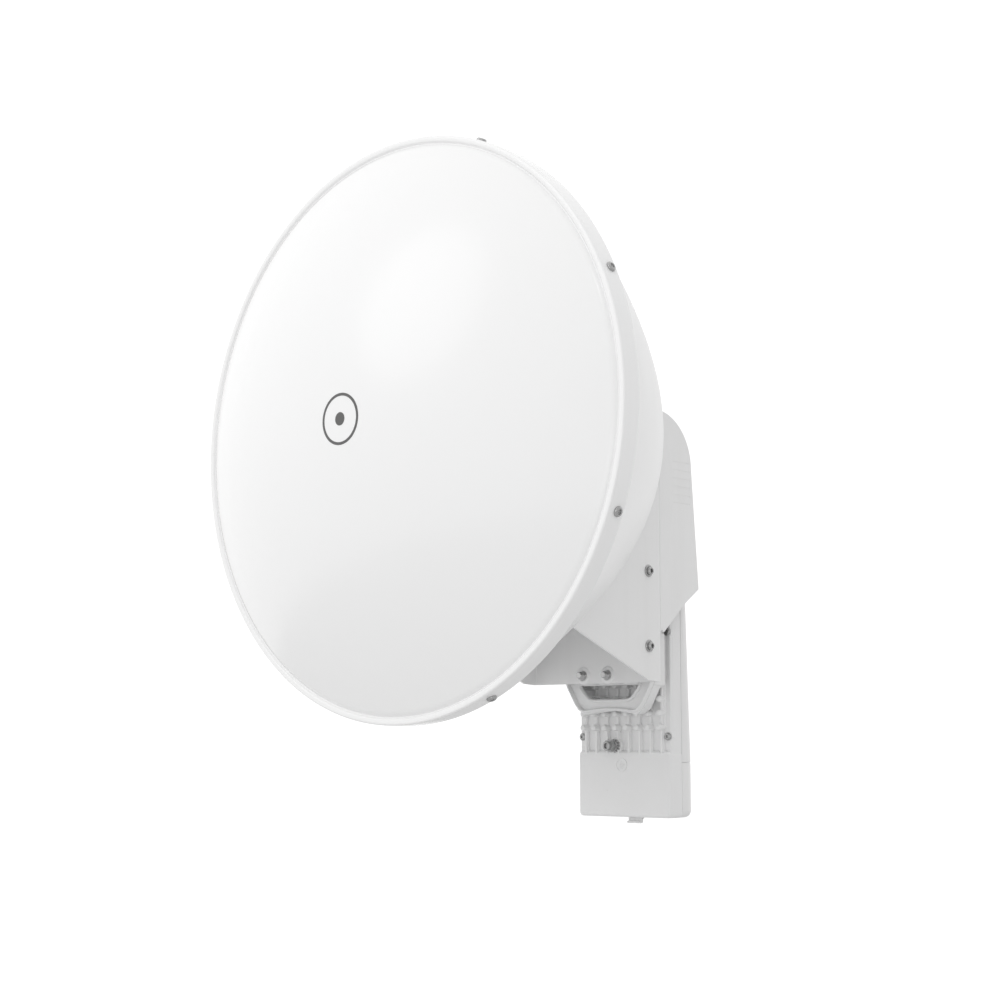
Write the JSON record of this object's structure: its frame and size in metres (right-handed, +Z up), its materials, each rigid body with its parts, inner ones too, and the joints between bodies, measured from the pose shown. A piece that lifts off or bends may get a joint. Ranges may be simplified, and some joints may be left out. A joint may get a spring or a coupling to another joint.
{
  "type": "outdoor wireless bridge",
  "caption": "Round dish antenna with a domed cover, a finned radio unit on its back, and a tilting clamp bracket that holds it to a pole.",
  "frame": {"origin": "on the pole's axis, midway between the two clamps", "axes": "+Z up along the pole, -Y the way the dish looks, +X to the right seen from the front"},
  "size_m": [0.378, 0.3068, 0.444],
  "materials": {
    "painted_steel": "satin white powder coat",
    "radome_plastic": "glossy white",
    "cast_aluminium": "fine white powder coat over casting",
    "white_plastic": "satin white",
    "bare_aluminium": "machined",
    "steel": "zinc or stainless",
    "gold_brass": "gold flash",
    "cable_jacket": "tinned braid",
    "seal_rubber": "matt",
    "feed_plastic": "cross-linked polystyrene",
    "board": "solder mask",
    "dark_plastic": "matt"
  },
  "bodies": {
    "bracket": {"pole_bracket": "painted_steel", "pole_saddles": "bare_aluminium", "clamp_bolts": "steel", "pivot_bolt": "steel", "pivot_nut": "steel", "friction_washer": "seal_rubber"},
    "antenna": {"radome": "radome_plastic", "radome_gasket": "seal_rubber", "radome_screws": "steel", "reflector": "painted_steel", "hub_plate": "bare_aluminium", "hub_bolts": "steel", "hub_nuts": "steel", "feed_tube": "bare_aluminium", "feed_support": "feed_plastic", "subreflector": "bare_aluminium", "feed_hub": "bare_aluminium", "feed_jacks": "gold_brass", "left_jumper": "cable_jacket", "right_jumper": "cable_jacket", "jumper_nuts": "gold_brass", "hub_channel": "painted_steel", "rear_wings": "painted_steel", "side_bolts": "steel", "radio_mount": "cast_aluminium", "mount_bolts": "steel", "heat_sink": "cast_aluminium", "rear_cover": "white_plastic", "cover_gasket": "seal_rubber", "circuit_board": "board", "rf_shield": "steel", "rf_jacks": "gold_brass", "ethernet_jack": "dark_plastic", "corner_screws": "steel", "ground_screw": "steel", "ground_washer": "steel", "lock_bolt": "steel", "lock_washer": "steel", "lock_nut": "steel"},
    "upper_clamp": {"upper_jaw": "bare_aluminium", "upper_washers": "steel", "upper_nuts": "steel"},
    "lower_clamp": {"lower_jaw": "bare_aluminium", "lower_washers": "steel", "lower_nuts": "steel"},
    "port_door": {"port_cover": "white_plastic"},
    "latch": {"cover_latch": "white_plastic"},
    "button": {"reset_button": "dark_plastic"}
  },
  "joints": [
    {"name": "tilt", "type": "hinge", "parent": "bracket", "child": "antenna", "pos_m": [0.058, -0.0119, 0.027], "axis": [-1, 0, 0], "range_deg": [-15, 15]},
    {"name": "upper_clamp_travel", "type": "slide", "parent": "bracket", "child": "upper_clamp", "axis": [0, 1, 0], "range_m": [0, 0.018]},
    {"name": "lower_clamp_travel", "type": "slide", "parent": "bracket", "child": "lower_clamp", "axis": [0, 1, 0], "range_m": [0, 0.018]},
    {"name": "port_cover_slide", "type": "slide", "parent": "antenna", "child": "port_door", "axis": [0, 0, -1], "range_m": [0, 0.04]},
    {"name": "latch_press", "type": "slide", "parent": "port_door", "child": "latch", "axis": [0, 1, 0], "range_m": [0, 0.0015], "stiffness_N_per_m": 400},
    {"name": "reset_press", "type": "slide", "parent": "antenna", "child": "button", "axis": [0, 0, 1], "range_m": [0, 0.0008], "stiffness_N_per_m": 400}
  ]
}
